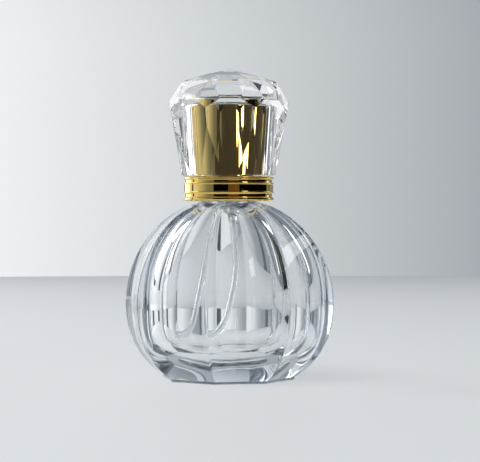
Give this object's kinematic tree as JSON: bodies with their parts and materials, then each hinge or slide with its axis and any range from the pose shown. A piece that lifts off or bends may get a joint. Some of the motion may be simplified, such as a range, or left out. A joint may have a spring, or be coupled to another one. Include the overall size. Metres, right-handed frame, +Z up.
{
  "type": "perfume bottle",
  "caption": "Perfume spray bottle: thick glass globe with eight fluted panels, gold crimp collar, finger pump with curled dip tube, and a faceted clear pull-off cap with a gold inner sleeve.",
  "frame": {"origin": "centre of the flat ring the bottle stands on, on the bottle's axis", "axes": "+Z up along the bottle's axis, -Y to the front, the way the spray nozzle points at rest, +X to the right seen from the front"},
  "size_m": [0.0504, 0.0504, 0.0752],
  "materials": {
    "glass": "clear polished glass with a faint blue-grey tint",
    "acrylic": "clear polished acrylic, faceted",
    "gold": "mirror-polished gold anodised aluminium",
    "plastic": "natural white polypropylene",
    "tube": "translucent natural polyethylene",
    "rubber": "black seal rubber",
    "steel": "drawn stainless steel",
    "aluminium": "plain pressed aluminium"
  },
  "bodies": {
    "bottle": {"glass_bottle": "glass", "neck_gasket": "rubber", "crimp_ferrule": "aluminium", "collar_insert": "plastic", "collar": "gold", "pump_housing": "tube", "housing_bushing": "plastic", "stem_seal": "rubber", "spring_guide": "plastic", "dip_tube": "tube", "return_spring": "steel"},
    "ball": {"inlet_ball": "steel"},
    "stem": {"stem": "plastic"},
    "piston": {"piston": "plastic"},
    "spray_head": {"actuator_button": "plastic", "actuator_shell": "gold", "spray_insert": "plastic"},
    "cap": {"cap_crystal": "acrylic", "cap_sleeve": "gold", "cap_liner": "plastic"}
  },
  "joints": [
    {"name": "cap_lift", "type": "slide", "parent": "bottle", "child": "cap", "axis": [0, 0, 1], "range_m": [0, 0.035]},
    {"name": "pump_stroke", "type": "slide", "parent": "bottle", "child": "stem", "axis": [0, 0, -1], "range_m": [0, 0.003], "stiffness_N_per_m": 700, "springref_m": -0.003, "deforming": ["return_spring"]},
    {"name": "head_swivel", "type": "hinge", "parent": "stem", "child": "spray_head", "pos_m": [0, 0, 0.0579], "axis": [0, 0, 1], "continuous": true},
    {"name": "piston_float", "type": "slide", "parent": "stem", "child": "piston", "axis": [0, 0, 1], "range_m": [0, 0.0004]},
    {"name": "ball_lift", "type": "slide", "parent": "bottle", "child": "ball", "axis": [0, 0, 1], "range_m": [0, 0.0008]}
  ]
}
